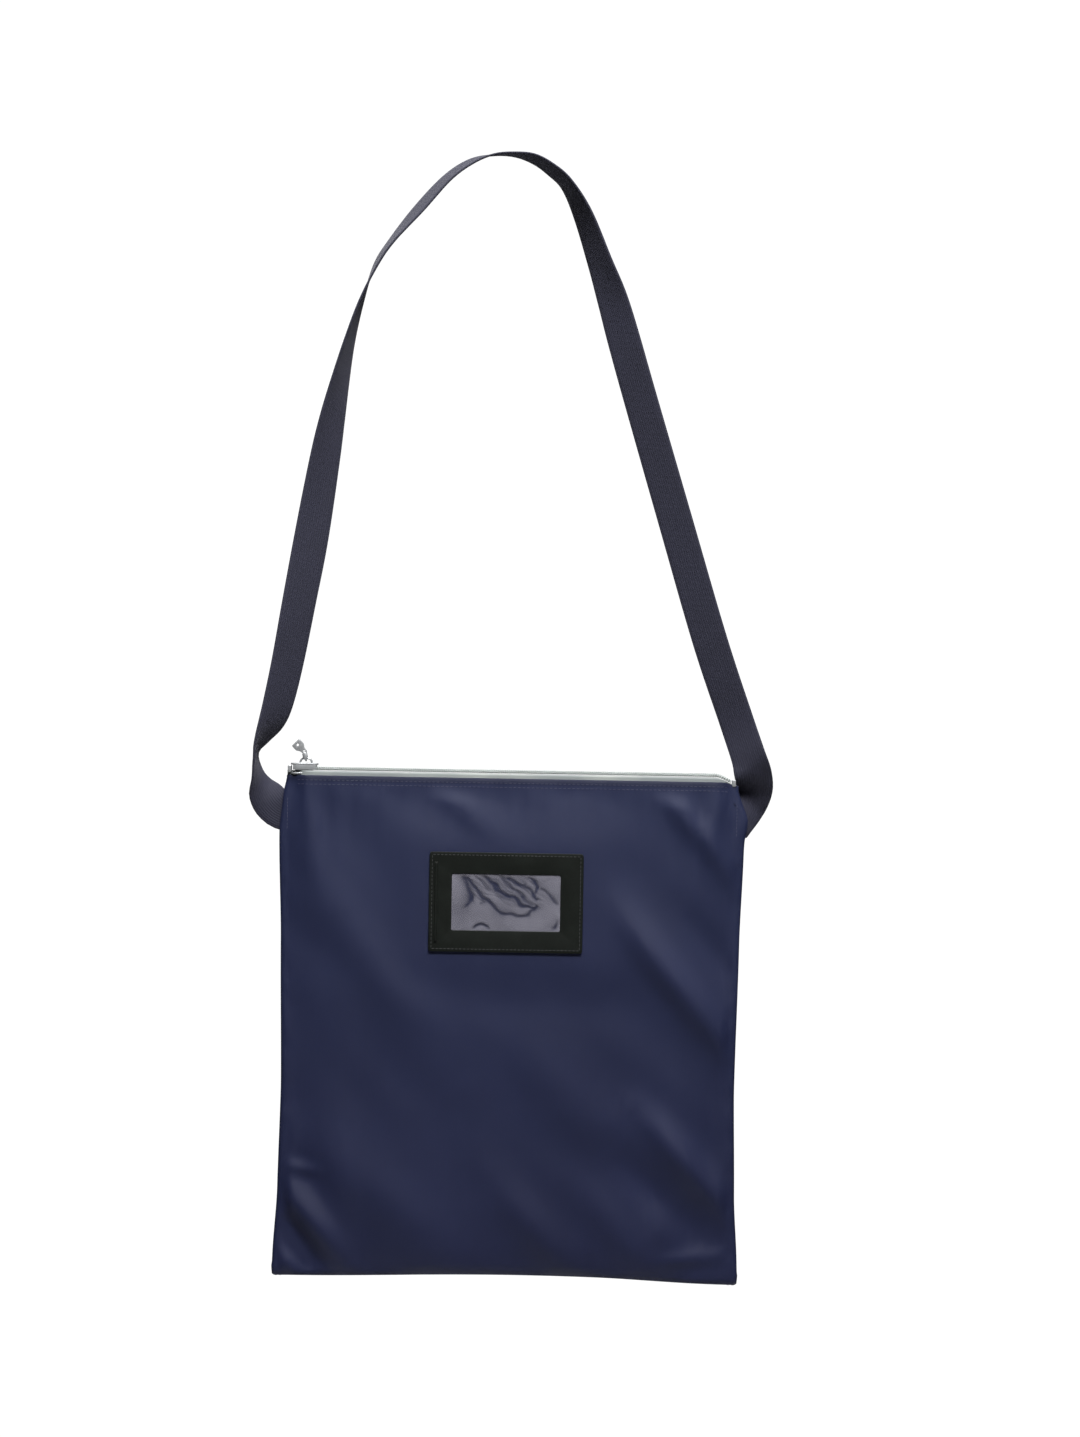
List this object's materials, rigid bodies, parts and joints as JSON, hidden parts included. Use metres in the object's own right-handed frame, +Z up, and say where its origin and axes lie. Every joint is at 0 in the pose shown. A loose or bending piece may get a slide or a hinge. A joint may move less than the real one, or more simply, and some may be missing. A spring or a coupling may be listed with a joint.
{
  "type": "cash deposit bag",
  "caption": "Flat rectangular zipped fabric cash bag with a long sewn-in webbing carrying strap and a clear card window in a frame on the front.",
  "frame": {"origin": "underside of the strap at the top of its loop, over the middle of the bag, where a hand or hook holds it", "axes": "+Z up along the hanging bag, +X across the bag to the right as seen from the front, +Y to its back; the front with the card window faces -Y"},
  "size_m": [0.3534, 0.025, 0.752],
  "materials": {
    "navy_nylon": "closely woven coated nylon, slight satin sheen",
    "webbing": "ribbed woven webbing, matt",
    "seam_binding": "plain woven binding tape, matt",
    "zip_tape": "woven polyester zip tape, matt",
    "zip_coil": "smooth nylon filament, semi-gloss",
    "nickel": "polished nickel plating",
    "black_vinyl": "fine-grained soft vinyl, low sheen",
    "clear_film": "clear flexible film, glossy, slightly wavy"
  },
  "bodies": {
    "strap": {"strap": "webbing"},
    "bag": {"strap_end_left": "webbing", "strap_end_right": "webbing", "front_panel": "navy_nylon", "back_panel": "navy_nylon", "side_seam_left": "seam_binding", "side_seam_right": "seam_binding", "bottom_seam": "seam_binding", "zip_tape_front": "zip_tape", "zip_tape_back": "zip_tape", "zip_coil_front": "zip_coil", "zip_coil_back": "zip_coil", "top_stop_front": "nickel", "top_stop_back": "nickel", "bottom_stop": "nickel", "id_frame": "black_vinyl", "id_window": "clear_film"},
    "slider": {"slider_body": "nickel", "slider_crown": "nickel"},
    "pull_ring": {"pull_ring": "nickel"},
    "pull_tab": {"pull_tab": "nickel"}
  },
  "joints": [
    {"name": "bag_swing", "type": "hinge", "parent": "strap", "child": "bag", "pos_m": [0, 0, -0.436], "axis": [1, 0, 0], "range_deg": [-150, 150]},
    {"name": "zip_slide", "type": "slide", "parent": "bag", "child": "slider", "axis": [1, 0, 0], "range_m": [0, 0.272]},
    {"name": "ring_swing", "type": "hinge", "parent": "slider", "child": "pull_ring", "pos_m": [-0.1376, 0, -0.4035], "axis": [0, 1, 0], "range_deg": [-43, 70]},
    {"name": "tab_swing", "type": "hinge", "parent": "pull_ring", "child": "pull_tab", "pos_m": [-0.13889, 0, -0.39743], "axis": [0, 1, 0], "range_deg": [-15, 60]}
  ]
}
